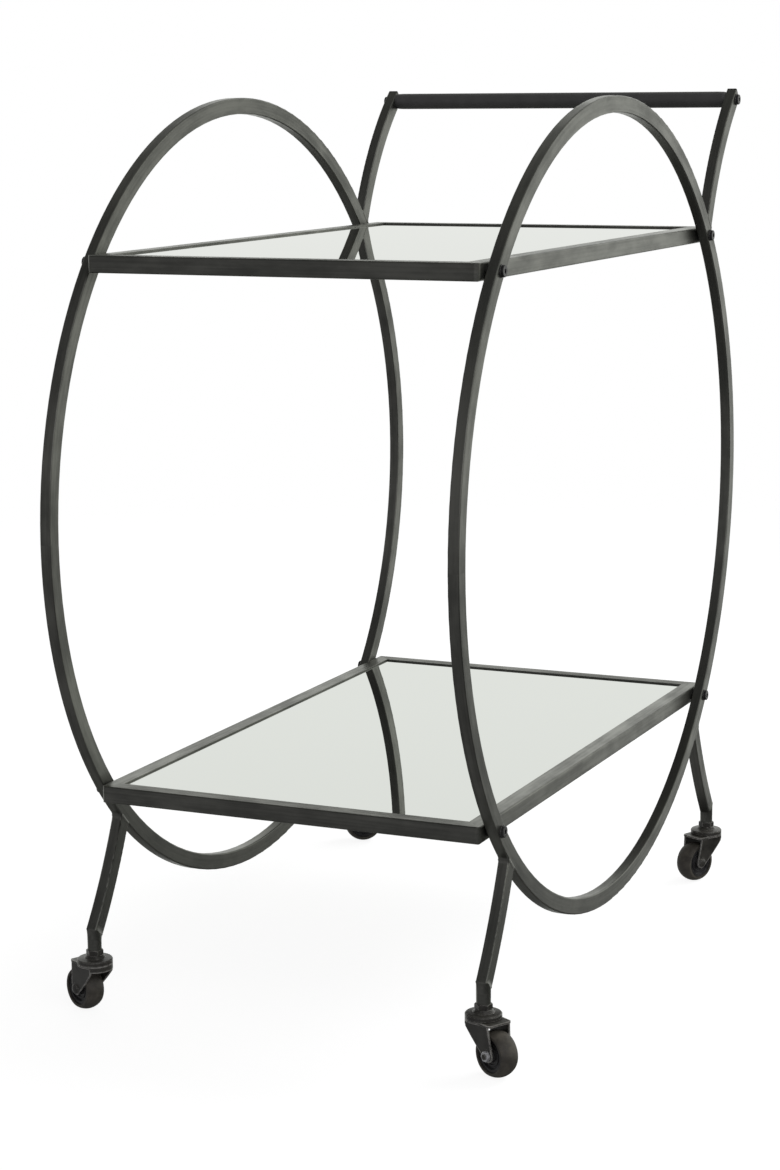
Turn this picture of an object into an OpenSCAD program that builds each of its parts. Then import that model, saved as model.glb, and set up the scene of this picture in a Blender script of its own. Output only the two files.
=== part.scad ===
// Bar cart: two upright hoops of rectangular tube carry two framed mirror shelves,
// a push bar at the rear and four curved legs on swivel casters.
// Millimetres. +Z up, +Y towards the push bar, +X to the right.
// The origin is on the floor, midway between the hoops and under their centres.

/* [Hoops] */
// Outer diameter of each hoop
ring_od = 740; // [700:5:780]
// Distance between the two hoops' middle planes
ring_spacing = 373; // [353:1:403]
// Height of the hoops' centres above the floor
ring_centre_z = 432.5; // [425:0.5:440]
// Radial depth of the hoop, leg and upright tube
tube_depth = 15; // [14:0.5:18]
// Width of that tube across the hoop's plane
tube_width = 10; // [9.5:0.5:12]
// Outside corner radius of the tube
tube_corner = 1.25; // [1:0.25:2.5]
// Wall thickness of the tube
tube_wall = 1.2; // [1:0.1:1.5]

/* [Shelves] */
// Depth of a shelf frame from front to rear
shelf_depth = 600; // [590:5:620]
// Side of the square shelf rail
rail = 15; // [14:0.5:16]
// Wall thickness of the shelf rail
rail_wall = 1.2; // [1:0.1:1.5]
// Radius of the rails' long outer edges
rail_edge = 1.6; // [1:0.1:2.5]
// Radius of a frame's outer corners in plan
frame_corner = 5.5; // [3:0.5:6]
// Height of a shelf's middle above or below the hoops' centres
shelf_offset = 232.5; // [225:0.5:240]
// Thickness of the mirror glass
mirror_t = 4; // [3:0.5:5]
// Depth of the mirror's face below the rails' top faces
mirror_inset = 1.4; // [0.8:0.1:2]
// Gap between a hoop and a shelf frame, held by a spacer
spacer_t = 1.5; // [1:0.1:3]

/* [Push bar] */
// Diameter of the bar
bar_d = 16; // [14:0.5:18]
// Height of the bar's axis above the hoops' centres
bar_rise = 364; // [355:1:368]
// Radius of the uprights' bend at the tube's middle line
upright_r = 306; // [302:1:310]
// Distance of the bend's centre behind the hoops' centres
upright_cy = 562; // [558:1:566]
// Height of the bend's centre above the hoops' centres
upright_cz = 135; // [130:1:140]

/* [Legs] */
// Radius of the legs' bend at the tube's middle line
leg_r = 466; // [460:1:472]
// Distance of the bend's centre from the hoops' centres, front or rear
leg_cy = 685; // [680:1:690]
// Distance of the bend's centre below the hoops' centres
leg_cz = 85; // [82:1:88]
// Height of the tube's lower end above the floor
leg_end_z = 74.5; // [71.5:0.25:76]
// Diameter of the threaded socket at the leg's end
socket_d = 12.5; // [10.5:0.5:13]

/* [Casters] */
// Diameter of a wheel
wheel_d = 40; // [38:0.5:40]
// Width of a wheel's tread
wheel_w = 17.6; // [15:0.2:17.6]
// Distance from the swivel axis to the axle
trail = 17.5; // [16:0.5:19]
// Direction in which the front left wheel trails, from +X
heading_front_left = 153; // [0:1:360]
// Direction in which the front right wheel trails, from +X
heading_front_right = 331; // [0:1:360]
// Direction in which the rear left wheel trails, from +X
heading_rear_left = 209; // [0:1:360]
// Direction in which the rear right wheel trails, from +X
heading_rear_right = 246; // [0:1:360]

/* [Hidden] */
$fn = 64;
ring_r = ring_od / 2;
ring_mid_r = ring_r - tube_depth / 2;
ring_x = ring_spacing / 2;
hoop_outer_x = ring_x + tube_width / 2;
hoop_inner_x = ring_x - tube_width / 2;

// Shelves: the frame fits between the hoops with a spacer on each side
shelf_width = 2 * (hoop_inner_x - spacer_t);
bolt_y = sqrt(ring_mid_r * ring_mid_r - shelf_offset * shelf_offset);
mirror_gap = 0.5;
lug_t = 2;
lug_w = 20;
lug_reach = 12;
pad_t = 1;
pad_d = 10;

// M6 low-head socket bolts, washers, spacers and threaded inserts
m6 = 3;
m6_hole = 3.2;
m6_thread = 3.05;
head_r = 5;
head_t = 2.4;
head_chamfer = 0.4;
hex_key_r = 2.3;
hex_key_depth = 1.5;
washer_r = 5.5;
washer_t = 0.8;
insert_r = 4.5;
insert_len = 11;
bolt_reach = 12;
fit = 0.05;

// Push bar and its uprights
bar_wall = 1.5;
bar_taper = 0.8;
bar_taper_len = 8;
plug_len = 20;
bar_y = upright_cy - sqrt(upright_r * upright_r - pow(bar_rise - upright_cz, 2));
bar_angle = atan2(bar_rise - upright_cz, bar_y - upright_cy);
upright_past_bar = 6.5;
upright_end_angle = bar_angle - upright_past_bar / upright_r * 180 / PI;
upright_foot_angle = 163;
cap_t = 1.4;
cap_dome = 1.1;
cap_plug = 2.6;

// Legs: the bend runs from inside the hoop to the tube's lower end
leg_foot_angle = 180 + asin((ring_centre_z - leg_cz - leg_end_z) / leg_r);
leg_root_angle = 200;
leg_y = leg_cy - leg_r * cos(leg_foot_angle - 180);
leg_end_plate = 1.5;

// Casters, by height above the floor
axle_z = wheel_d / 2;
roof_t = 1.8;
roof_z = 45.2;
roof_top = roof_z + roof_t;
roof_half = 12.5;
roof_tail = 22.3;
roof_corner = 3;
raceway_r = 15.8;
raceway_z = 47.5;
raceway_rim = 1.4;
raceway_under = 49.9;
raceway_top = 54.2;
boss_r = 7.2;
nut_af = 13.5;
nut_t = 5;
nut_turn = 20;
socket_z = raceway_top + nut_t;
stem_r = 4;
stem_top = 66;
shoulder_r = 5;
king_head_r = 6.5;
king_head_t = 2.6;
king_head_z = roof_z - 0.2 - king_head_t;
ball_r = 1.25;
ball_track_r = 9.2;
ball_count = 14;
fork_r = 15.8;
// Where the round nose of the fork meets the flat cheeks
nose_x = -sqrt(fork_r * fork_r - roof_half * roof_half);
skirt_z = 41.4;
cheek_t = 1.5;
cheek_lean = 4.5;
cheek_in = 8.9;
cheek_out = 10.6;
cheek_eye_r = 6;
tyre_round = 3;
tyre_crown_r = 15;
axle_r = 2.5;
sleeve_r = 3.5;
axle_head_r = 4.4;
axle_head_t = 1.8;
axle_nut_af = 8;
axle_nut_t = 3;
axle_past_nut = 0.8;
seat_r = 5.2;
core_r = 15;
hub_half = 8.5;

STEEL = [0.24, 0.24, 0.23];
BLACK = [0.09, 0.09, 0.09];
ZINC = [0.75, 0.77, 0.78];
GLASS = [0.86, 0.88, 0.86];

// The four corners as [side, end, heading]: side -1 left, end -1 front
FRONT_LEFT = [-1, -1, heading_front_left];
FRONT_RIGHT = [1, -1, heading_front_right];
REAR_LEFT = [-1, 1, heading_rear_left];
REAR_RIGHT = [1, 1, heading_rear_right];
CORNERS = [FRONT_LEFT, FRONT_RIGHT, REAR_LEFT, REAR_RIGHT];

// ---- shared shapes ----

// Rectangle centred on the origin with true round corners
module rounded_rect(w, h, r) {
    square([w, h - 2 * r], center = true);
    square([w - 2 * r, h], center = true);
    for (sx = [-1, 1], sy = [-1, 1])
        translate([sx * (w / 2 - r), sy * (h / 2 - r)]) circle(r = r);
}

// Turns a shape drawn in X-Y so that X becomes the cart's Y and Y its Z, at distance x
module in_side_plane(x) {
    translate([x, 0, 0]) rotate([90, 0, 90]) children();
}

// Outside of the rectangular tube, bent on radius r from angle a0 through a sweep
module tube_outside(r, a0, sweep) {
    rotate_extrude(start = a0, angle = sweep, $fn = 180)
        translate([r, 0]) rounded_rect(tube_depth, tube_width, tube_corner);
}

// Hollow inside of the same tube
module tube_inside(r, a0, sweep) {
    rotate_extrude(start = a0, angle = sweep, $fn = 180)
        translate([r, 0])
            rounded_rect(tube_depth - 2 * tube_wall, tube_width - 2 * tube_wall,
                         tube_corner - tube_wall / 2);
}

// Hole along X through both walls of a tube
module cross_hole(x, y, z, r) {
    translate([x - tube_width, y, z]) rotate([0, 90, 0]) cylinder(r = r, h = 2 * tube_width);
}

// Hexagonal nut on +Z with chamfered corners and a plain bore
module hex_nut(af, h, bore_r) {
    corner_r = af / sqrt(3);
    chamfer = corner_r - af / 2;
    difference() {
        intersection() {
            cylinder(r = corner_r, h = h, $fn = 6);
            rotate_extrude() polygon([[0, 0], [af / 2, 0], [corner_r, chamfer * 0.6],
                [corner_r, h - chamfer * 0.6], [af / 2, h], [0, h]]);
        }
        translate([0, 0, -1]) cylinder(r = bore_r, h = h + 2);
    }
}

// Low-head socket bolt along +Z: head above zero, shank below it
module socket_bolt(shank) {
    difference() {
        union() {
            rotate_extrude() polygon([[0, 0], [head_r, 0], [head_r, head_t - head_chamfer],
                [head_r - head_chamfer, head_t], [0, head_t]]);
            translate([0, 0, -shank]) cylinder(r = m6, h = shank + 1);
        }
        translate([0, 0, head_t - hex_key_depth])
            cylinder(r = hex_key_r, h = hex_key_depth + 1, $fn = 6);
    }
}

// Flat ring on +Z
module flat_ring(outer, inner, h) {
    difference() {
        cylinder(r = outer, h = h);
        translate([0, 0, -1]) cylinder(r = inner, h = h + 2);
    }
}

// Places children on a side's outward axis at x, y, z
module outward(side, x, y, z) {
    translate([side * x, y, z]) rotate([0, side * 90, 0]) children();
}

// Places children at the eight shelf bolts, on the outward axis at x
module at_shelf_bolts(x) {
    for (side = [-1, 1], end = [-1, 1], level = [-1, 1])
        outward(side, x, end * bolt_y, ring_centre_z + level * shelf_offset) children();
}

// Places children on the two ends of the push bar, on the outward axis at x
module at_bar_ends(x) {
    for (side = [-1, 1])
        outward(side, x, bar_y, ring_centre_z + bar_rise) children();
}

// Places children on a caster's swivel axis with +X along its trailing direction
module at_caster(corner) {
    translate([corner[0] * ring_x, corner[1] * leg_y, 0]) rotate([0, 0, corner[2]]) children();
}

// Places children on a caster's axle, with +Z along the axle to the wheel's left
module at_axle(corner) {
    at_caster(corner) translate([trail, 0, axle_z]) rotate([-90, 0, 0]) children();
}

// ---- hoops, uprights and push bar ----

module ring(side) {
    color(STEEL) difference() {
        in_side_plane(side * ring_x) translate([0, ring_centre_z]) difference() {
            tube_outside(ring_mid_r, 0, 360);
            tube_inside(ring_mid_r, 0, 360);
        }
        for (end = [-1, 1], level = [-1, 1])
            cross_hole(side * ring_x, end * bolt_y, ring_centre_z + level * shelf_offset, m6_hole);
    }
}

// What the hoop removes from a tube that is welded to its outer face
module hoop_cut(side) {
    translate([side * ring_x - tube_width, 0, ring_centre_z]) rotate([0, 90, 0])
        cylinder(r = ring_r, h = 2 * tube_width, $fn = 180);
}

module handle_upright(side) {
    color(STEEL) difference() {
        in_side_plane(side * ring_x) translate([upright_cy, ring_centre_z + upright_cz])
            difference() {
                tube_outside(upright_r, upright_end_angle, upright_foot_angle - upright_end_angle);
                tube_inside(upright_r, upright_end_angle - 1,
                            upright_foot_angle - upright_end_angle + 2);
            }
        hoop_cut(side);
        cross_hole(side * ring_x, bar_y, ring_centre_z + bar_rise, m6_hole);
    }
}

// Domed plug in each upright's open top end
module upright_caps() {
    color(BLACK) for (side = [-1, 1])
        in_side_plane(side * ring_x)
            translate([upright_cy, ring_centre_z + upright_cz]) rotate([0, 0, upright_end_angle])
                translate([upright_r, 0, 0]) rotate([90, 0, 0]) {
                    linear_extrude(cap_t) rounded_rect(tube_depth, tube_width, tube_corner);
                    translate([0, 0, cap_t]) linear_extrude(cap_dome)
                        rounded_rect(tube_depth - 2.4, tube_width - 2.4, tube_corner);
                    translate([0, 0, -cap_plug]) linear_extrude(cap_plug)
                        rounded_rect(tube_depth - 2 * tube_wall - 0.3,
                                     tube_width - 2 * tube_wall - 0.3, tube_corner - tube_wall / 2);
                }
}

// Tubular bar between the uprights' inner faces, slightly tapered at both ends
module handle_bar() {
    r = bar_d / 2;
    half = hoop_inner_x;
    color(BLACK) translate([0, bar_y, ring_centre_z + bar_rise]) rotate([0, 90, 0])
        difference() {
            rotate_extrude() polygon([[0, -half], [r - bar_taper, -half],
                [r - bar_taper / 4, bar_taper_len / 3 - half], [r, bar_taper_len - half],
                [r, half - bar_taper_len], [r - bar_taper / 4, half - bar_taper_len / 3],
                [r - bar_taper, half], [0, half]]);
            translate([0, 0, -half - 1]) cylinder(r = r - bar_wall, h = 2 * half + 2);
        }
}

// Threaded plugs pressed into the bar's ends
module handle_bar_plugs() {
    color(ZINC) at_bar_ends(hoop_inner_x - plug_len)
        flat_ring(bar_d / 2 - bar_wall - fit, m6_thread, plug_len);
}

module handle_bolts() {
    color(BLACK) at_bar_ends(hoop_outer_x + washer_t)
        socket_bolt(washer_t + tube_width + bolt_reach);
}

// ---- shelves ----

module shelf_frame(level) {
    zc = ring_centre_z + level * shelf_offset;
    inner_w = shelf_width - 2 * rail;
    inner_d = shelf_depth - 2 * rail;
    color(STEEL) difference() {
        intersection() {
            translate([0, 0, zc - rail / 2]) linear_extrude(rail)
                rounded_rect(shelf_width, shelf_depth, frame_corner);
            translate([-shelf_width / 2, 0, zc]) rotate([90, 0, 90]) linear_extrude(shelf_width)
                rounded_rect(shelf_depth, rail, rail_edge);
            translate([0, shelf_depth / 2, zc]) rotate([90, 0, 0]) linear_extrude(shelf_depth)
                rounded_rect(shelf_width, rail, rail_edge);
        }
        translate([0, 0, zc]) cube([inner_w, inner_d, 2 * rail], center = true);
        translate([0, 0, zc]) difference() {
            translate([0, 0, rail_wall - rail / 2]) linear_extrude(rail - 2 * rail_wall)
                rounded_rect(shelf_width - 2 * rail_wall, shelf_depth - 2 * rail_wall,
                             frame_corner - rail_wall);
            cube([inner_w + 2 * rail_wall, inner_d + 2 * rail_wall, rail], center = true);
        }
        for (side = [-1, 1], end = [-1, 1])
            outward(side, shelf_width / 2 - rail / 2, end * bolt_y, zc)
                cylinder(r = insert_r + fit, h = rail);
    }
}

function mirror_top(level) = ring_centre_z + level * shelf_offset + rail / 2 - mirror_inset;
function lug_top(level) = mirror_top(level) - mirror_t - pad_t;

module mirror_plate(level) {
    w = shelf_width - 2 * rail - 2 * mirror_gap;
    d = shelf_depth - 2 * rail - 2 * mirror_gap;
    color(GLASS) translate([-w / 2, -d / 2, mirror_top(level) - mirror_t]) cube([w, d, mirror_t]);
}

// Places children at each lug, with +X pointing from the rail towards the shelf's middle
module at_lugs(level) {
    side_x = shelf_width / 2 - rail;
    end_y = shelf_depth / 2 - rail;
    for (side = [-1, 1], row = [-1, 0, 1])
        translate([side * side_x, row * end_y * 0.7, lug_top(level)])
            rotate([0, 0, side > 0 ? 180 : 0]) children();
    for (end = [-1, 1], column = [-1, 1])
        translate([column * side_x * 0.5, end * end_y, lug_top(level)])
            rotate([0, 0, end > 0 ? -90 : 90]) children();
}

module mirror_lugs() {
    color(STEEL) for (level = [-1, 1]) at_lugs(level)
        translate([0, -lug_w / 2, -lug_t]) cube([lug_reach, lug_w, lug_t]);
}

module mirror_pads() {
    color(BLACK) for (level = [-1, 1]) at_lugs(level)
        translate([lug_reach / 2 + 0.5, 0, 0]) cylinder(r = pad_d / 2, h = pad_t);
}

module shelf_bolts() {
    color(BLACK) at_shelf_bolts(hoop_outer_x + washer_t)
        socket_bolt(washer_t + tube_width + spacer_t + bolt_reach - 2);
}

module bolt_washers() {
    color(BLACK) {
        at_shelf_bolts(hoop_outer_x) flat_ring(washer_r, m6_hole, washer_t);
        at_bar_ends(hoop_outer_x) flat_ring(washer_r, m6_hole, washer_t);
    }
}

module shelf_spacers() {
    color(BLACK) at_shelf_bolts(hoop_inner_x - spacer_t) flat_ring(washer_r, m6_hole, spacer_t);
}

module shelf_inserts() {
    color(ZINC) at_shelf_bolts(shelf_width / 2 - insert_len)
        flat_ring(insert_r, m6_thread, insert_len);
}

// ---- legs ----

// Rear leg of a side; the front one is its mirror image
module leg(side, end) {
    end_angle = leg_foot_angle - leg_end_plate / leg_r * 180 / PI;
    color(STEEL) mirror([0, end < 0 ? 1 : 0, 0]) difference() {
        in_side_plane(side * ring_x) translate([leg_cy, ring_centre_z - leg_cz]) difference() {
            tube_outside(leg_r, leg_root_angle, leg_foot_angle - leg_root_angle);
            tube_inside(leg_r, leg_root_angle - 1, end_angle - leg_root_angle + 1);
        }
        hoop_cut(side);
    }
}

// Threaded socket under each leg, its top cut to the slope of the tube's end
module leg_sockets() {
    slope = leg_foot_angle - 180;
    for (c = CORNERS)
        color(STEEL) translate([c[0] * ring_x, c[1] * leg_y, 0])
            mirror([0, c[1] < 0 ? 1 : 0, 0]) difference() {
                translate([0, 0, socket_z]) cylinder(r = socket_d / 2, h = leg_end_z + 8 - socket_z);
                translate([0, 0, leg_end_z]) rotate([slope, 0, 0])
                    translate([-socket_d, -2 * socket_d, 0])
                        cube([2 * socket_d, 4 * socket_d, 2 * socket_d]);
                translate([0, 0, socket_z - 1]) cylinder(r = stem_r + fit, h = stem_top - socket_z + 1.5);
            }
}

// ---- casters ----

module stem_nuts() {
    for (c = CORNERS)
        color(BLACK) translate([c[0] * ring_x, c[1] * leg_y, raceway_top]) rotate([0, 0, nut_turn])
            hex_nut(nut_af, nut_t, stem_r + fit);
}

// Threaded stem with a shoulder that the fork turns on and a head that holds it up
module caster_stem(corner) {
    color(BLACK) at_caster(corner) {
        translate([0, 0, king_head_z]) cylinder(r = king_head_r, h = king_head_t);
        translate([0, 0, king_head_z]) cylinder(r = shoulder_r, h = raceway_under - king_head_z);
        translate([0, 0, king_head_z]) cylinder(r = stem_r, h = stem_top - king_head_z);
    }
}

// Stamped cup over the swivel bearing, drawn up into a boss under the nut
module raceway(corner) {
    color(BLACK) at_caster(corner) difference() {
        rotate_extrude() polygon([[0, raceway_z], [raceway_r, raceway_z],
            [raceway_r, raceway_under + 0.5], [raceway_r - 0.7, raceway_under + 1.3],
            [boss_r + 2.3, raceway_top - 2.4], [boss_r, raceway_top], [0, raceway_top]]);
        translate([0, 0, raceway_z - 1])
            cylinder(r = raceway_r - raceway_rim, h = raceway_under - raceway_z + 1);
        cylinder(r = stem_r + fit, h = 2 * raceway_top);
    }
}

module swivel_balls() {
    z = (roof_top + raceway_under) / 2;
    color(ZINC) for (c = CORNERS) at_caster(c) for (i = [0 : ball_count - 1])
        rotate([0, 0, i * 360 / ball_count]) translate([ball_track_r, 0, z]) sphere(r = ball_r);
}

// One point of the cheek's curved leading edge, t from 0 under the nose to 1 at the eye
function leading_edge(t) =
    let (p0 = [nose_x, skirt_z - 2], p1 = [-1, 29], p2 = [trail - cheek_eye_r + 1, axle_z - 3])
    pow(1 - t, 2) * p0 + 2 * t * (1 - t) * p1 + t * t * p2;

// Outline of a cheek in the fork's X-Z plane, with its rounded eye around the axle
module cheek_outline() {
    polygon(concat([[nose_x, roof_z + roof_t / 2]], [for (i = [0 : 8]) leading_edge(i / 8)],
        [[trail, axle_z - 3], [trail + cheek_eye_r, axle_z],
         [roof_tail - roof_corner + 0.3, roof_z + roof_t / 2]]));
    translate([trail, axle_z]) circle(r = cheek_eye_r);
}

// Cheek on the +Y side: its plate leans inwards from the edge of the roof to the axle
module cheek() {
    translate([0, roof_half, roof_top]) rotate([-cheek_lean, 0, 0]) translate([0, 0, -roof_top])
        rotate([90, 0, 0]) linear_extrude(cheek_t) cheek_outline();
}

// Stamped fork: a flat roof, a short skirt round the nose and two cheeks with flat axle seats
module fork(corner) {
    nose_angle = atan2(roof_half, nose_x);
    color(BLACK) at_caster(corner) difference() {
        union() {
            translate([0, 0, roof_z]) linear_extrude(roof_t) {
                circle(r = fork_r);
                translate([roof_tail / 2, 0])
                    rounded_rect(roof_tail, 2 * roof_half, roof_corner);
                translate([0, -roof_half]) square([roof_tail / 2, 2 * roof_half]);
            }
            rotate_extrude(start = nose_angle, angle = 360 - 2 * nose_angle)
                translate([fork_r - cheek_t, skirt_z]) square([cheek_t, roof_top - skirt_z]);
            cheek();
            mirror([0, 1, 0]) cheek();
            translate([trail, cheek_out, axle_z]) rotate([90, 0, 0])
                cylinder(r = seat_r, h = 2 * cheek_out);
        }
        translate([trail, cheek_in, axle_z]) rotate([90, 0, 0])
            cylinder(r = cheek_eye_r + 1, h = 2 * cheek_in);
        for (s = [-1, 1]) translate([trail, s * (cheek_out + cheek_t), axle_z])
            rotate([90, 0, 0]) cylinder(r = seat_r, h = 2 * cheek_t, center = true);
        translate([0, 0, roof_z - 1]) cylinder(r = shoulder_r + fit, h = roof_t + 2);
        translate([trail, cheek_out + 1, axle_z]) rotate([90, 0, 0])
            cylinder(r = axle_r + fit, h = 2 * cheek_out + 2);
    }
}

module axle_bolt(corner) {
    shank = 2 * cheek_out + axle_nut_t + axle_past_nut;
    color(BLACK) at_axle(corner) {
        translate([0, 0, cheek_out]) rotate_extrude() polygon([[0, 0], [axle_head_r, 0],
            [axle_head_r, axle_head_t / 3], [axle_head_r * 0.78, axle_head_t * 0.8],
            [axle_head_r * 0.4, axle_head_t], [0, axle_head_t]]);
        translate([0, 0, cheek_out - shank]) cylinder(r = axle_r, h = shank + 1);
    }
}

module axle_nut(corner) {
    color(ZINC) at_axle(corner) translate([0, 0, -cheek_out - axle_nut_t])
        hex_nut(axle_nut_af, axle_nut_t, axle_r + fit);
}

// Steel sleeve between the cheeks, on which the wheel turns
module axle_sleeve(corner) {
    color(ZINC) at_axle(corner) translate([0, 0, -cheek_in])
        flat_ring(sleeve_r, axle_r + fit, 2 * cheek_in);
}

// Half section of the wheel's centre as [radius, half width]: hub, webs, rings and rim
CORE_STEPS = [[sleeve_r + fit, hub_half], [6.2, hub_half], [6.2, 5.4], [8.4, 5.4], [8.4, 6.4],
    [9.6, 6.4], [9.6, 5.4], [12.2, 5.4], [12.2, 7.4], [core_r, 7.4]];

module wheel_core(corner) {
    last = len(CORE_STEPS) - 1;
    color(BLACK) at_axle(corner) rotate_extrude() polygon(concat(
        [for (i = [0 : last]) CORE_STEPS[i]],
        [for (i = [0 : last]) [CORE_STEPS[last - i][0], -CORE_STEPS[last - i][1]]]));
}

module tyre(corner) {
    r = wheel_d / 2;
    color(BLACK) at_axle(corner) rotate_extrude() difference() {
        intersection() {
            translate([r - 6, 0]) rounded_rect(12, wheel_w, tyre_round);
            translate([r - tyre_crown_r, 0]) circle(r = tyre_crown_r);
        }
        translate([0, -wheel_w]) square([core_r, 2 * wheel_w]);
    }
}

ring(-1);  // ring_left
ring(1);  // ring_right
handle_upright(-1);  // handle_upright_left
handle_upright(1);  // handle_upright_right
upright_caps();
handle_bar();
handle_bar_plugs();
handle_bolts();
shelf_frame(1);  // shelf_frame_upper
shelf_frame(-1);  // shelf_frame_lower
mirror_plate(1);  // mirror_upper
mirror_plate(-1);  // mirror_lower
mirror_lugs();
mirror_pads();
shelf_bolts();
bolt_washers();
shelf_spacers();
shelf_inserts();
leg(-1, -1);  // leg_front_left
leg(1, -1);  // leg_front_right
leg(-1, 1);  // leg_rear_left
leg(1, 1);  // leg_rear_right
leg_sockets();
stem_nuts();
caster_stem(FRONT_LEFT);  // caster_stem_front_left
caster_stem(FRONT_RIGHT);  // caster_stem_front_right
caster_stem(REAR_LEFT);  // caster_stem_rear_left
caster_stem(REAR_RIGHT);  // caster_stem_rear_right
raceway(FRONT_LEFT);  // raceway_front_left
raceway(FRONT_RIGHT);  // raceway_front_right
raceway(REAR_LEFT);  // raceway_rear_left
raceway(REAR_RIGHT);  // raceway_rear_right
swivel_balls();
fork(FRONT_LEFT);  // fork_front_left
fork(FRONT_RIGHT);  // fork_front_right
fork(REAR_LEFT);  // fork_rear_left
fork(REAR_RIGHT);  // fork_rear_right
axle_bolt(FRONT_LEFT);  // axle_bolt_front_left
axle_bolt(FRONT_RIGHT);  // axle_bolt_front_right
axle_bolt(REAR_LEFT);  // axle_bolt_rear_left
axle_bolt(REAR_RIGHT);  // axle_bolt_rear_right
axle_nut(FRONT_LEFT);  // axle_nut_front_left
axle_nut(FRONT_RIGHT);  // axle_nut_front_right
axle_nut(REAR_LEFT);  // axle_nut_rear_left
axle_nut(REAR_RIGHT);  // axle_nut_rear_right
axle_sleeve(FRONT_LEFT);  // axle_sleeve_front_left
axle_sleeve(FRONT_RIGHT);  // axle_sleeve_front_right
axle_sleeve(REAR_LEFT);  // axle_sleeve_rear_left
axle_sleeve(REAR_RIGHT);  // axle_sleeve_rear_right
wheel_core(FRONT_LEFT);  // wheel_core_front_left
wheel_core(FRONT_RIGHT);  // wheel_core_front_right
wheel_core(REAR_LEFT);  // wheel_core_rear_left
wheel_core(REAR_RIGHT);  // wheel_core_rear_right
tyre(FRONT_LEFT);  // tyre_front_left
tyre(FRONT_RIGHT);  // tyre_front_right
tyre(REAR_LEFT);  // tyre_rear_left
tyre(REAR_RIGHT);  // tyre_rear_right
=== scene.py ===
"""Bar cart: looks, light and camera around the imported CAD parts. Metres, in the CAD frame."""

import math

import bmesh
import bpy
from mathutils import Matrix, Vector, noise


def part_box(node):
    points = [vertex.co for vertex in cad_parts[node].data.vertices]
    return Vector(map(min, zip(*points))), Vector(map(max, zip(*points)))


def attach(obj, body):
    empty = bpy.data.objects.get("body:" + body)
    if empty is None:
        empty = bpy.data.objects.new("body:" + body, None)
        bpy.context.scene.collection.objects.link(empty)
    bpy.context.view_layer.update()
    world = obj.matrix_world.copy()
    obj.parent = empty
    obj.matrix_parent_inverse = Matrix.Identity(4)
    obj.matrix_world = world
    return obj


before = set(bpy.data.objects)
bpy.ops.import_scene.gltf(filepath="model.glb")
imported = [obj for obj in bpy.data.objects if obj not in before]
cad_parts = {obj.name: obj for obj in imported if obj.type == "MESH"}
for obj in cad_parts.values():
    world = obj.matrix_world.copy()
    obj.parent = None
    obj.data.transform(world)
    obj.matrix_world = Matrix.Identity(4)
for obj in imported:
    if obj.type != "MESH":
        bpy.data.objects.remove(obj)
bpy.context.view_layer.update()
scene = bpy.context.scene

# ---- sizes in metres: read from the CAD's boxes where a box gives them ----

hoop_lo, hoop_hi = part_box("ring_right")
HOOP_R = (hoop_hi.z - hoop_lo.z) / 2
HOOP_Z = (hoop_hi.z + hoop_lo.z) / 2
HOOP_X = (hoop_hi.x + hoop_lo.x) / 2
TUBE_W = hoop_hi.x - hoop_lo.x
# The hoop tube's radial depth and its corners' radius
TUBE_D = 0.015
TUBE_EDGE = 0.00125
# The centre, as Y and Z, and the middle radius of the bends of the rear legs and the uprights
LEG_ARC = (0.685, HOOP_Z - 0.085)
LEG_R = 0.466
UPRIGHT_ARC = (0.562, HOOP_Z + 0.135)
UPRIGHT_R = 0.306
frame_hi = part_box("shelf_frame_upper")[1]
# |Y| - |X| along a shelf frame's mitres
MITRE = frame_hi.y - frame_hi.x

# ---- node graphs ----


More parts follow.
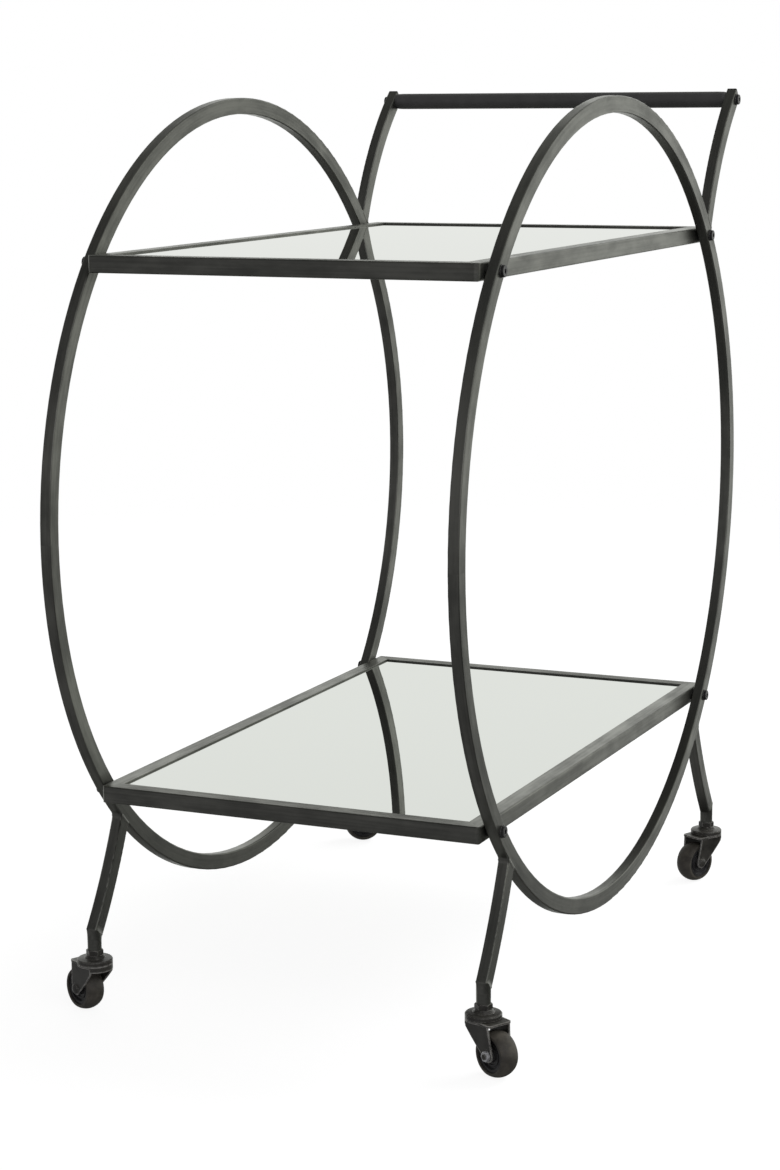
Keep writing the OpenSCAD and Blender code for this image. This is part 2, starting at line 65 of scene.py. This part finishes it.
class Graph:
    """A material's node tree, with short calls that add a node and return its output."""

    def __init__(self, name):
        self.material = bpy.data.materials.new(name)
        self.material.use_nodes = True
        self.tree = self.material.node_tree
        self.tree.nodes.clear()
        out = self.add("ShaderNodeOutputMaterial")
        self.shader = self.add("ShaderNodeBsdfPrincipled")
        self.tree.links.new(self.shader.outputs[0], out.inputs[0])

    def add(self, kind, **settings):
        made = self.tree.nodes.new(kind)
        for key, value in settings.items():
            setattr(made, key, value)
        return made

    def feed(self, socket, value):
        if isinstance(value, bpy.types.NodeSocket):
            self.tree.links.new(value, socket)
        elif value is not None:
            socket.default_value = value

    def set(self, **values):
        """Sets the shader's sockets; a name's underscores stand for spaces."""
        for key, value in values.items():
            self.feed(self.shader.inputs[key.replace("_", " ")], value)

    def math(self, op, *args):
        made = self.add("ShaderNodeMath", operation=op)
        for socket, value in zip(made.inputs, args):
            self.feed(socket, value)
        return made.outputs[0]

    def vector(self, op, *args):
        made = self.add("ShaderNodeVectorMath", operation=op)
        for socket, value in zip(made.inputs, args):
            self.feed(socket, value)
        scalar = op in ("LENGTH", "DOT_PRODUCT", "DISTANCE")
        return made.outputs["Value" if scalar else "Vector"]

    def point(self):
        return self.add("ShaderNodeTexCoord").outputs["Object"]

    def split(self, vector):
        made = self.add("ShaderNodeSeparateXYZ")
        self.feed(made.inputs[0], vector)
        return made.outputs[0], made.outputs[1], made.outputs[2]

    def join(self, x, y, z):
        made = self.add("ShaderNodeCombineXYZ")
        for socket, value in zip(made.inputs, (x, y, z)):
            self.feed(socket, value)
        return made.outputs[0]

    def noise(self, at, scale, detail=3.0, rough=0.55):
        made = self.add("ShaderNodeTexNoise")
        self.feed(made.inputs["Vector"], at)
        self.feed(made.inputs["Scale"], scale)
        self.feed(made.inputs["Detail"], detail)
        self.feed(made.inputs["Roughness"], rough)
        return made.outputs[0]

    def between(self, value, low, high, start=0.0, end=1.0):
        """value from low..high to start..end, smooth and clamped."""
        made = self.add("ShaderNodeMapRange", interpolation_type="SMOOTHSTEP")
        for socket, v in zip(made.inputs, (value, low, high, start, end)):
            self.feed(socket, v)
        return made.outputs[0]

    def mix(self, factor, a, b):
        made = self.add("ShaderNodeMix", data_type="RGBA")
        self.feed(made.inputs[0], factor)
        self.feed(made.inputs[6], a)
        self.feed(made.inputs[7], b)
        return made.outputs[2]

    def bump(self, height, distance, strength=1.0, normal=None):
        made = self.add("ShaderNodeBump")
        self.feed(made.inputs["Height"], height)
        self.feed(made.inputs["Distance"], distance)
        self.feed(made.inputs["Strength"], strength)
        self.feed(made.inputs["Normal"], normal)
        return made.outputs[0]

    def edge(self, radius, low, high):
        """0 on flat faces and 1 on outside edges, from how far a rounded normal leans."""
        soft = self.add("ShaderNodeBevel", samples=8)
        soft.inputs["Radius"].default_value = radius
        flat = self.add("ShaderNodeNewGeometry").outputs["Normal"]
        lean = self.vector("DOT_PRODUCT", soft.outputs[0], flat)
        return self.between(lean, high, low)


def rgb(r, g, b):
    return (r, g, b, 1.0)


# ---- flows: where a point lies across and along its tube, and the tube's direction ----

# Half width of the seam line on a mitre
MITRE_SEAM = 0.0005


def arc_flow(g, centre_y, centre_z):
    """A bent tube: across is X, up is the distance from the bend's centre."""
    x, y, z = g.split(g.point())
    dy = g.math("SUBTRACT", y, centre_y)
    dz = g.math("SUBTRACT", z, centre_z)
    radius = g.math("SQRT", g.math("ADD", g.math("MULTIPLY", dy, dy), g.math("MULTIPLY", dz, dz)))
    angle = g.math("ARCTAN2", dz, dy)
    along = g.math("MULTIPLY", angle, HOOP_R)
    tangent = g.join(0.0, g.math("MULTIPLY", dz, -1.0), dy)
    return x, radius, along, g.vector("NORMALIZE", tangent)


def rail_flow(g):
    """A shelf frame's straight rails, with a fine seam at each mitre."""
    x, y, z = g.split(g.point())
    gap = g.math("SUBTRACT", g.math("ABSOLUTE", y), g.math("ABSOLUTE", x))
    cross_rail = g.math("GREATER_THAN", gap, MITRE)
    along = g.math("ADD", g.math("MULTIPLY", x, cross_rail),
                   g.math("MULTIPLY", y, g.math("SUBTRACT", 1.0, cross_rail)))
    across = g.math("SUBTRACT", g.math("ADD", x, y), along)
    tangent = g.join(cross_rail, g.math("SUBTRACT", 1.0, cross_rail), 0.0)
    off_mitre = g.math("ABSOLUTE", g.math("SUBTRACT", gap, MITRE))
    seam = g.between(off_mitre, 0.0, MITRE_SEAM, 1.0, 0.0)
    return across, z, along, tangent, seam


# How far the streaks and the patches are drawn out along a tube: 1 is not at all
STREAK_DRAW = 0.015
PATCH_DRAW = 0.3
LACQUER_DARK = rgb(0.118, 0.120, 0.107)
LACQUER_PALE = rgb(0.202, 0.204, 0.181)
LACQUER_WORN = rgb(0.30, 0.30, 0.27)


def brushed_steel(name, flow, edge_mix=1.0):
    """Dark lacquer over brushed tube: fine streaks along the tube, satin sheen, paler edges."""
    g = Graph(name)
    parts = flow(g)
    a, b, along, tangent = parts[:4]
    streak_at = g.join(a, b, g.math("MULTIPLY", along, STREAK_DRAW))
    fine = g.noise(streak_at, 1900.0, 3.0, 0.55)
    broad = g.noise(streak_at, 420.0, 3.0, 0.5)
    cloud = g.noise(g.point(), 14.0, 4.0, 0.55)
    patch = g.noise(g.join(a, b, g.math("MULTIPLY", along, PATCH_DRAW)), 90.0, 4.0, 0.6)
    slow = g.math("ADD", g.math("MULTIPLY", cloud, 0.4), g.math("MULTIPLY", patch, 0.35))
    tone = g.math("ADD", g.math("MULTIPLY", broad, 0.25), slow)
    colour = g.mix(g.between(tone, 0.36, 0.64), LACQUER_DARK, LACQUER_PALE)
    edge = g.edge(0.0009, 0.80, 0.985)
    edge_tint = g.math("MULTIPLY", edge, g.between(patch, 0.35, 0.65, 0.25 * edge_mix, 0.7 * edge_mix))
    colour = g.mix(edge_tint, colour, LACQUER_WORN)
    rough = g.between(tone, 0.36, 0.64, 0.42, 0.30)
    height = g.math("ADD", g.math("MULTIPLY", fine, 0.4), g.math("MULTIPLY", broad, 0.6))
    if len(parts) > 4:
        height = g.math("SUBTRACT", height, g.math("MULTIPLY", parts[4], 1.2))
    g.set(Base_Color=colour, Roughness=rough, Metallic=0.85, IOR=1.5, Anisotropic=0.5,
          Anisotropic_Rotation=0.25, Tangent=tangent, Normal=g.bump(height, 0.00004, 0.45))
    return g.material


DUST = rgb(0.25, 0.24, 0.22)


def coated_black(name, base, roughness, grain, depth, edge_tint=None, dusty=0.0, edge_r=0.0008,
                 wear_and_highlight_metal=0.9, wear_and_highlight_low=0.05, wear_and_highlight_from=0.70, wear_and_highlight_to=0.97, mottle=0.3, shine=0.5):
    """Black coating with a fine grain.

    worn is the colour that shows on edges, partly wear and partly a painted highlight where an edge
    would catch the light, where the rounded normal leans from wear_and_highlight_to to
    wear_and_highlight_from; mottle is the coating's unevenness and dusty the dust on top of it."""
    g = Graph(name)
    at = g.point()
    fine = g.noise(at, grain, 3.0, 0.6)
    cloud = g.noise(at, 60.0, 4.0, 0.6)
    colour = g.mix(g.between(cloud, 0.3, 0.7), rgb(*[c * (1 - mottle) for c in base]),
                   rgb(*[c * (1 + mottle) for c in base]))
    rough = g.between(cloud, 0.3, 0.7, roughness - mottle * 0.2, roughness + mottle * 0.25)
    metal = 0.0
    soft = g.add("ShaderNodeBevel", samples=4)
    soft.inputs["Radius"].default_value = 0.0004
    # Edges painted pale: partly wear, partly a painted highlight where an edge would catch the light
    if edge_tint:
        edge = g.edge(edge_r, wear_and_highlight_from, wear_and_highlight_to)
        patchy = g.between(g.noise(at, 240.0, 4.0, 0.7), 0.38, 0.62, wear_and_highlight_low, 1.0)
        edge_mix = g.math("MULTIPLY", edge, patchy)
        colour = g.mix(edge_mix, colour, rgb(*edge_tint))
        metal = g.math("MULTIPLY", edge_mix, wear_and_highlight_metal)
    if dusty:
        up = g.split(g.add("ShaderNodeNewGeometry").outputs["Normal"])[2]
        specks = g.between(g.noise(at, 300.0, 5.0, 0.7), 0.45, 0.8, 0.0, dusty)
        dust = g.math("MULTIPLY", g.between(up, 0.2, 1.0), specks)
        colour = g.mix(dust, colour, DUST)
        rough = g.math("ADD", rough, g.math("MULTIPLY", dust, 0.4))
    g.set(Base_Color=colour, Roughness=rough, Metallic=metal, Specular_IOR_Level=shine,
          Normal=g.bump(fine, depth, 0.8, soft.outputs[0]))
    return g.material


def bright_zinc(name):
    """Zinc plate with a soft spangle."""
    g = Graph(name)
    at = g.point()
    spangle = g.noise(at, 700.0, 3.0, 0.6)
    colour = g.mix(g.between(spangle, 0.3, 0.7), rgb(0.74, 0.75, 0.77), rgb(0.92, 0.93, 0.94))
    g.set(Base_Color=colour, Metallic=0.45, Roughness=g.between(spangle, 0.3, 0.7, 0.16, 0.34),
          Normal=g.bump(g.noise(at, 1500.0, 2.0), 0.00003, 0.6))
    return g.material


def mirror_glass(name, top_z, bottom_z):
    """Silvered glass: a clean mirror on top, green ground edges and a grey painted back."""
    g = Graph(name)
    height = g.split(g.point())[2]
    up = g.split(g.add("ShaderNodeNewGeometry").outputs["Normal"])[2]
    face = g.between(up, 0.2, 0.8)
    back = g.between(up, -0.2, -0.8)
    smear = g.noise(g.point(), 9.0, 5.0, 0.6)
    dust = g.between(g.noise(g.point(), 1400.0, 2.0, 0.5), 0.74, 0.80)
    brush = g.between(g.noise(g.point(), 40.0), 0.35, 0.65)
    paint = g.mix(brush, rgb(0.20, 0.20, 0.20), rgb(0.25, 0.25, 0.245))
    silver = g.mix(dust, rgb(0.640, 0.655, 0.636), rgb(0.60, 0.60, 0.585))
    edge = g.mix(g.between(height, bottom_z, top_z), rgb(0.05, 0.09, 0.075), rgb(0.12, 0.21, 0.18))
    colour = g.mix(back, g.mix(face, edge, silver), paint)
    clean = g.between(smear, 0.45, 0.75, 0.004, 0.018)
    polished = g.math("MULTIPLY", face, g.math("ADD", clean, g.math("MULTIPLY", dust, 0.05)))
    matt = g.math("MULTIPLY", g.math("SUBTRACT", 1.0, face), 0.4)
    rough = g.math("ADD", polished, matt)
    g.set(Base_Color=colour, Metallic=face, Roughness=rough)
    return g.material


def rubber(name, base, grain, depth):
    """Rubber, mottled light and dark, with a fine grain."""
    g = Graph(name)
    at = g.point()
    fine = g.noise(at, grain, 4.0, 0.65)
    cloud = g.noise(at, 90.0, 4.0, 0.6)
    colour = g.mix(g.between(cloud, 0.32, 0.68), rgb(*[c * 0.7 for c in base]),
                   rgb(*[c * 1.4 for c in base]))
    g.set(Base_Color=colour, Roughness=g.between(cloud, 0.3, 0.7, 0.5, 0.68),
          Normal=g.bump(fine, depth, 0.9))
    return g.material


def hoop_flow(g):
    return arc_flow(g, 0.0, HOOP_Z)


def upright_flow(g):
    return arc_flow(g, *UPRIGHT_ARC)


def rear_leg_flow(g):
    return arc_flow(g, *LEG_ARC)


def front_leg_flow(g):
    return arc_flow(g, -LEG_ARC[0], LEG_ARC[1])


STEEL_HOOP = brushed_steel("steel_hoop", hoop_flow)
STEEL_UPRIGHT = brushed_steel("steel_upright", upright_flow)
STEEL_LEG_REAR = brushed_steel("steel_leg_rear", rear_leg_flow)
STEEL_LEG_FRONT = brushed_steel("steel_leg_front", front_leg_flow)
STEEL_RAIL = brushed_steel("steel_rail", rail_flow)
STEEL_WELD = brushed_steel("steel_weld", hoop_flow, edge_mix=0.0)
BAR_BLACK = coated_black("bar_black", (0.088, 0.088, 0.086), 0.50, 2400.0, 0.00005, mottle=0.08)
# The bolt heads' edges are painted pale: partly wear, partly a painted highlight on their rims
BOLT_BLACK = coated_black("bolt_black", (0.022, 0.022, 0.022), 0.34, 3000.0, 0.00002,
                          edge_tint=(0.62, 0.61, 0.59), edge_r=0.0005, wear_and_highlight_low=0.45)
# Edges painted pale: partly wear, partly a painted highlight for the glints on rims and raceway
CASTER_BLACK = coated_black("caster_black", (0.048, 0.046, 0.040), 0.32, 1500.0, 0.00003,
                            edge_tint=(0.50, 0.49, 0.45), dusty=0.4, wear_and_highlight_metal=0.3, wear_and_highlight_low=0.2,
                            wear_and_highlight_from=0.92, wear_and_highlight_to=0.995)
# Edges painted pale, wider than elsewhere: a painted highlight where the sheet's cut edges catch the
# light, with patchy wear
FORK_BLACK = coated_black("fork_black", (0.048, 0.046, 0.040), 0.32, 1500.0, 0.00003,
                          edge_tint=(0.55, 0.54, 0.50), dusty=0.4, edge_r=0.0026, wear_and_highlight_metal=0.3,
                          wear_and_highlight_low=0.35, wear_and_highlight_from=0.90, wear_and_highlight_to=0.996)
PLUG_BLACK = coated_black("plug_black", (0.012, 0.012, 0.012), 0.55, 1600.0, 0.00003, shine=0.2)
WHEEL_BLACK = coated_black("wheel_black", (0.050, 0.049, 0.050), 0.26, 900.0, 0.00004, dusty=0.4)
ZINC = bright_zinc("bright_zinc")
TREAD = rubber("tread", (0.078, 0.071, 0.058), 1300.0, 0.00006)
PAD = rubber("pad", (0.05, 0.05, 0.05), 900.0, 0.00004)


def dress(prefix, material):
    """Gives the material to every CAD node whose name starts with the prefix."""
    for name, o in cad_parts.items():
        if name.startswith(prefix):
            o.data.materials.clear()
            o.data.materials.append(material)


for prefix, material in (
    ("ring_", STEEL_HOOP),
    ("handle_upright", STEEL_UPRIGHT),
    ("leg_rear", STEEL_LEG_REAR),
    ("leg_front", STEEL_LEG_FRONT),
    ("leg_sockets", STEEL_RAIL),
    ("shelf_frame", STEEL_RAIL),
    ("mirror_lugs", STEEL_RAIL),
    ("handle_bar", BAR_BLACK),
    ("handle_bar_plugs", ZINC),
    ("handle_bolts", BOLT_BLACK),
    ("shelf_bolts", BOLT_BLACK),
    ("bolt_washers", BOLT_BLACK),
    ("shelf_spacers", BOLT_BLACK),
    ("shelf_inserts", ZINC),
    ("upright_caps", PLUG_BLACK),
    ("mirror_pads", PAD),
    ("stem_nuts", CASTER_BLACK),
    ("caster_stem", CASTER_BLACK),
    ("raceway", CASTER_BLACK),
    ("fork", FORK_BLACK),
    ("axle_bolt", CASTER_BLACK),
    ("axle_nut", ZINC),
    ("axle_sleeve", ZINC),
    ("swivel_balls", ZINC),
    ("wheel_core", WHEEL_BLACK),
    ("tyre", TREAD),
):
    dress(prefix, material)

for level in ("upper", "lower"):
    lo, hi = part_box("mirror_" + level)
    dress("mirror_" + level, mirror_glass("mirror_glass_" + level, hi.z, lo.z))

# ---- welds: ground smooth where legs and uprights meet the hoops ----

# How far a fillet runs along each of the two tubes that it joins
FILLET = 0.0045
# Length of the collar down the socket
COLLAR = 0.009
# How deep a weld's edges lie inside the tubes, so that no two surfaces lie in one plane
SUNK = 0.0001
# Height of a seam's bead above the tubes' sides
BEAD = 0.00022
ARC_STEPS = 16
COLLAR_STEPS = 48
# The largest angle between neighbouring faces that is shaded as smooth
SMOOTH_ANGLE = math.radians(40)


def circle_crossing(c0, r0, c1, r1, near):
    """The crossing of two circles in the hoop's Y-Z plane that lies nearest to a point."""
    gap = c1 - c0
    d = gap.length
    along = (d * d + r0 * r0 - r1 * r1) / (2 * d)
    off = math.sqrt(r0 * r0 - along * along)
    foot = c0 + gap * (along / d)
    side = Vector((-gap.y, gap.x)) * (off / d)
    return min((foot + side, foot - side), key=lambda p: (p - near).length)


def on_circle(centre, radius, start, toward, distance):
    """The point a distance along a circle from start, on the side of toward."""
    arm = start - centre
    angle = distance / radius
    turned = [Matrix.Rotation(sign * angle, 2) @ arm for sign in (1, -1)]
    return centre + min(turned, key=lambda v: (centre + v - toward).length)


def weld_mesh(name, x, loops):
    """A skin over a row of closed cross-sections, each a list of (x offset, y, z)."""
    bm = bmesh.new()
    rows = [[bm.verts.new((x + p[0], p[1], p[2])) for p in loop] for loop in loops]
    count = len(rows[0])
    for a, b in zip(rows, rows[1:]):
        for k in range(count):
            m = (k + 1) % count
            bm.faces.new((a[k], a[m], b[m], b[k]))
    bm.faces.new(list(reversed(rows[0])))
    bm.faces.new(rows[-1])
    bmesh.ops.recalc_face_normals(bm, faces=bm.faces)
    for f in bm.faces:
        f.smooth = True
    mesh = bpy.data.meshes.new(name)
    bm.to_mesh(mesh)
    bm.free()
    mesh.set_sharp_from_angle(angle=SMOOTH_ANGLE)
    o = bpy.data.objects.new(name, mesh)
    scene.collection.objects.link(o)
    mesh.materials.append(STEEL_WELD)
    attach(o, "cart")


def tube_weld(name, x, arc_centre, arc_r, foot, body):
    """Seams on the tube's two sides and a small fillet in each corner, where it meets the hoop.

    foot is a point near the joint and body a point further up the joined tube."""
    hoop_c = Vector((0.0, HOOP_Z))
    arc_c = Vector(arc_centre)
    ends = [circle_crossing(hoop_c, HOOP_R, arc_c, arc_r + s * TUBE_D / 2, foot) for s in (-1, 1)]
    angles = [math.atan2(p.y - hoop_c.y, p.x) for p in ends]
    half_w = TUBE_W / 2
    for side in (-1, 1):
        loops = []
        for i in range(ARC_STEPS + 1):
            t = i / ARC_STEPS
            angle = angles[0] * (1 - t) + angles[1] * t
            out = Vector((math.cos(angle), math.sin(angle)))
            ripple = 0.00012 * noise.noise(Vector((x * 9, angle * 260.0, side)))
            swell = math.sin(math.pi * t) ** 0.3 * BEAD + ripple
            section = [(half_w - TUBE_EDGE, HOOP_R - 2 * SUNK)]
            section += [(half_w - TUBE_EDGE + (TUBE_EDGE - SUNK) * math.cos(q),
                         HOOP_R - TUBE_EDGE + (TUBE_EDGE - SUNK) * math.sin(q))
                        for q in (math.pi / 3, math.pi / 6)]
            section += [(half_w - 3 * SUNK, HOOP_R - TUBE_EDGE - 0.0012),
                        (half_w + SUNK / 2, HOOP_R - TUBE_EDGE - 0.0006),
                        (half_w + swell, HOOP_R - TUBE_EDGE / 2),
                        (half_w + SUNK / 2, HOOP_R + 0.0012),
                        (half_w - TUBE_EDGE, HOOP_R + 0.0009)]
            loops.append([(side * w, *(hoop_c + out * r)) for w, r in section])
        weld_mesh(f"{name}_seam_{'outer' if side * x > 0 else 'inner'}", x, loops)
    for s in (-1, 1):
        loops = []
        for i in range(ARC_STEPS + 1):
            w = math.sin((i / (ARC_STEPS / 2) - 1) * math.pi / 2) * (half_w - SUNK / 2)
            past = max(0.0, abs(w) - (half_w - TUBE_EDGE))
            drop = TUBE_EDGE - math.sqrt(TUBE_EDGE ** 2 - past ** 2) + 0.00004
            end, other = [circle_crossing(hoop_c, HOOP_R - drop, arc_c,
                                          arc_r + k * (TUBE_D / 2 - drop), foot) for k in (s, -s)]
            along_hoop = end + (end - other).normalized() * 0.02
            a = on_circle(hoop_c, HOOP_R - drop, end, along_hoop, FILLET)
            b = on_circle(arc_c, arc_r + s * (TUBE_D / 2 - drop), end, body, FILLET)
            curve = [(1 - t) ** 2 * a + 2 * t * (1 - t) * end + t * t * b
                     for t in (k / 8 for k in range(9))]
            root = end + (other - end).normalized() * 0.001 - (end - hoop_c).normalized() * 0.0005
            loops.append([(w, *root)] + [(w, *p) for p in curve])
        weld_mesh(f"{name}_fillet_{'low' if s < 0 else 'high'}", x, loops)


def socket_collar(name, x, end):
    """Smooth weld between a leg's square end and the round socket under it."""
    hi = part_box("leg_sockets")[1]
    socket_r = hi.x - HOOP_X
    foot_y = end * (hi.y - socket_r)
    arm_y = foot_y - end * LEG_ARC[0]
    arm_z = -math.sqrt(LEG_R ** 2 - arm_y ** 2)
    foot_z = LEG_ARC[1] + arm_z
    radial = Vector((arm_y, arm_z)).normalized()
    down = Vector((radial.y, -radial.x))
    if down.y > 0:
        down = -down
    half_y = TUBE_D / 2 * abs(down.y)

    def ring(half_x, power, gap, shift, blend=1.0):
        """A loop between the socket's circle (blend 0) and a rounded square (blend 1).

        It lies a gap below the leg's sloping end, or a shift up along the leg."""
        loop = []
        for k in range(COLLAR_STEPS):
            t = 2 * math.pi * (k + 0.5) / COLLAR_STEPS
            square = (abs(math.cos(t) / half_x) ** power
                      + abs(math.sin(t) / half_y) ** power) ** (-1 / power)
            if blend < 1.0:
                square = socket_r + blend * (max(socket_r, square) - socket_r)
            reach = square + 0.00006
            y = reach * math.sin(t)
            loop.append((reach * math.cos(t), foot_y + y - down.x * shift,
                         foot_z - y * down.x / down.y - gap - down.y * shift))
        return loop

    loops = [ring(TUBE_W / 2, 7.0, gap, 0.0, 0.999 * (1 - gap / COLLAR) ** 1.4)
             for gap in (COLLAR, 0.0075, 0.006, 0.0045, 0.003, 0.0015, 0.0004)]
    for shift in (0.0006, 0.0014, 0.0024, 0.0038, 0.0060):
        spread = max(0.0, 1 - shift / 0.004) ** 2
        half_x = TUBE_W / 2 + spread * (socket_r - TUBE_W / 2)
        loops.append(ring(half_x, 7.0 - 3.0 * spread, 0.0, shift))
    weld_mesh(name, x, loops)


def all_welds():
    """The welds of the four legs and the two uprights."""
    for side, side_name in ((-1, "left"), (1, "right")):
        x = side * HOOP_X
        for end, end_name in ((-1, "front"), (1, "rear")):
            lo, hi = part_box(f"leg_{end_name}_{side_name}")
            inner_y = hi.y if end < 0 else lo.y
            outer_y = lo.y if end < 0 else hi.y
            tube_weld(f"weld_leg_{end_name}_{side_name}", x, (end * LEG_ARC[0], LEG_ARC[1]), LEG_R,
                      Vector((inner_y, hi.z)), Vector((outer_y, lo.z)))
            socket_collar(f"weld_socket_{end_name}_{side_name}", x, end)
        lo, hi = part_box("handle_upright_" + side_name)
        tube_weld("weld_upright_" + side_name, x, UPRIGHT_ARC, UPRIGHT_R,
                  Vector((lo.y, lo.z)), Vector((hi.y, hi.z)))


all_welds()

# ---- studio: floor, light, backdrop and camera ----

FLOOR_R = 3.0
# The camera's place in metres and its yaw, pitch and roll in radians
CAMERA_AT = (0.9961, -2.2992, 0.8087)
CAMERA_TURN = (0.42104, 0.18158, -0.00796)
LENS_MM = 82.97
SENSOR_MM = 36.0
# What the two softboxes aim at: the cart's middle
LIGHT_AIM = (0.0, 0.0, 0.4)


def studio_floor():
    """A pale disc under the cart that fades into the white backdrop."""
    bm = bmesh.new()
    rings, spokes = 24, 96
    rows = []
    for i in range(1, rings + 1):
        r = FLOOR_R * i / rings
        rows.append([bm.verts.new((r * math.cos(t), r * math.sin(t), 0.0))
                     for t in (2 * math.pi * k / spokes for k in range(spokes))])
    middle = bm.verts.new((0, 0, 0))
    for k in range(spokes):
        bm.faces.new((middle, rows[0][k], rows[0][(k + 1) % spokes]))
    for inner, outer in zip(rows, rows[1:]):
        for k in range(spokes):
            m = (k + 1) % spokes
            bm.faces.new((inner[k], outer[k], outer[m], inner[m]))
    mesh = bpy.data.meshes.new("studio_floor")
    bm.to_mesh(mesh)
    bm.free()
    o = bpy.data.objects.new("studio_floor", mesh)
    scene.collection.objects.link(o)
    o.visible_glossy = False
    o.visible_diffuse = False
    g = Graph("studio_floor")
    cloud = g.noise(g.point(), 0.8, 3.0)
    away = g.vector("LENGTH", g.point())
    g.set(Base_Color=g.mix(cloud, rgb(0.25, 0.25, 0.25), rgb(0.28, 0.28, 0.279)), Roughness=0.85,
          Specular_IOR_Level=0.1, Emission_Color=rgb(1, 1, 1), Emission_Strength=0.89,
          Alpha=g.between(away, 0.8, FLOOR_R, 1.0, 0.0))
    mesh.materials.append(g.material)


def backdrop():
    """White where the camera looks; a bright wall behind the cart and dimness in front light it."""
    world = bpy.data.worlds.new("studio")
    scene.world = world
    world.use_nodes = True
    tree = world.node_tree
    tree.nodes.clear()

    def add(kind, **settings):
        made = tree.nodes.new(kind)
        for key, value in settings.items():
            setattr(made, key, value)
        return made

    def ranged(value, a, b, c, d):
        made = add("ShaderNodeMapRange", interpolation_type="SMOOTHSTEP")
        tree.links.new(value, made.inputs[0])
        for socket, v in zip(list(made.inputs)[1:5], (a, b, c, d)):
            socket.default_value = v
        return made.outputs[0]

    def times(a, b):
        made = add("ShaderNodeMath", operation="MULTIPLY")
        tree.links.new(a, made.inputs[0])
        tree.links.new(b, made.inputs[1])
        return made.outputs[0]

    def plus(a, b):
        made = add("ShaderNodeMath", operation="ADD")
        tree.links.new(a, made.inputs[0])
        tree.links.new(b, made.inputs[1])
        return made.outputs[0]

    direction = add("ShaderNodeTexCoord").outputs["Generated"]
    parts = add("ShaderNodeSeparateXYZ")
    tree.links.new(direction, parts.inputs[0])
    x, y, z = parts.outputs
    # The wall behind the cart: it ends below a slanting line and fades toward the ceiling
    behind = ranged(y, -0.15, 0.65, 0.14, 0.86)
    slant = add("ShaderNodeMath", operation="MULTIPLY_ADD")
    tree.links.new(x, slant.inputs[0])
    slant.inputs[1].default_value = -0.35
    tree.links.new(z, slant.inputs[2])
    above_line = ranged(slant.outputs[0], -0.445, -0.315, 0.0, 1.0)
    rise = ranged(z, 0.06, 0.24, 1.0, 1.15)
    fade = ranged(z, 0.30, 0.64, 1.0, 0.28)
    wall = times(times(behind, above_line), times(rise, fade))
    # The dim side in front, the light off the floor, and a pale panel at the front right
    front = ranged(y, -0.9, 0.2, 0.10, 0.02)
    bounce = ranged(z, -0.8, -0.45, 0.15, 0.0)
    panel = times(times(ranged(x, 0.15, 0.5, 0.0, 0.6), ranged(z, 0.0, 0.15, 0.0, 1.0)),
                  ranged(y, -0.1, 0.4, 1.0, 0.0))
    # A touch of violet in front and of green behind
    tint = add("ShaderNodeMix", data_type="RGBA")
    tree.links.new(ranged(y, -0.5, 0.3, 0.0, 1.0), tint.inputs[0])
    tint.inputs[6].default_value = rgb(0.98, 0.97, 1.01)
    tint.inputs[7].default_value = rgb(0.985, 1.0, 0.965)
    studio = add("ShaderNodeBackground")
    tree.links.new(tint.outputs[2], studio.inputs["Color"])
    tree.links.new(plus(plus(wall, front), plus(bounce, panel)), studio.inputs["Strength"])
    white = add("ShaderNodeBackground")
    white.inputs["Color"].default_value = rgb(1, 1, 1)
    pick = add("ShaderNodeMixShader")
    tree.links.new(add("ShaderNodeLightPath").outputs["Is Camera Ray"], pick.inputs[0])
    tree.links.new(studio.outputs[0], pick.inputs[1])
    tree.links.new(white.outputs[0], pick.inputs[2])
    tree.links.new(pick.outputs[0], add("ShaderNodeOutputWorld").inputs[0])


def softbox(name, place, target, width, height, power):
    """An area light that fills the shadows but leaves no shape in the mirrors or on the tubes."""
    data = bpy.data.lights.new(name, "AREA")
    data.shape = "RECTANGLE"
    data.size, data.size_y = width, height
    data.energy = power
    o = bpy.data.objects.new(name, data)
    scene.collection.objects.link(o)
    o.location = place
    o.rotation_euler = (Vector(target) - Vector(place)).to_track_quat("-Z", "Y").to_euler()
    o.visible_glossy = False


def camera():
    """At the front right of the cart, a little above its middle, with a long lens."""
    yaw, pitch, roll = CAMERA_TURN
    level = math.cos(pitch)
    back = Vector((math.sin(yaw) * level, -math.cos(yaw) * level, math.sin(pitch)))
    right = Vector((math.cos(yaw), math.sin(yaw), 0.0))
    up = right.cross(-back)
    side = math.cos(roll) * right + math.sin(roll) * up
    top = -math.sin(roll) * right + math.cos(roll) * up
    data = bpy.data.cameras.new("camera")
    data.lens = LENS_MM
    data.sensor_width = SENSOR_MM
    data.clip_start, data.clip_end = 0.05, 60.0
    o = bpy.data.objects.new("camera", data)
    scene.collection.objects.link(o)
    turn = Matrix((side, top, back)).transposed()
    o.matrix_world = Matrix.Translation(CAMERA_AT) @ turn.to_4x4()
    scene.camera = o


studio_floor()
backdrop()
softbox("high_behind", (1.6, 2.2, 2.6), LIGHT_AIM, 2.2, 1.6, 55.0)
softbox("key_front", (1.9, -1.6, 2.2), LIGHT_AIM, 1.2, 1.2, 8.0)
camera()
scene.view_settings.view_transform = "Standard"
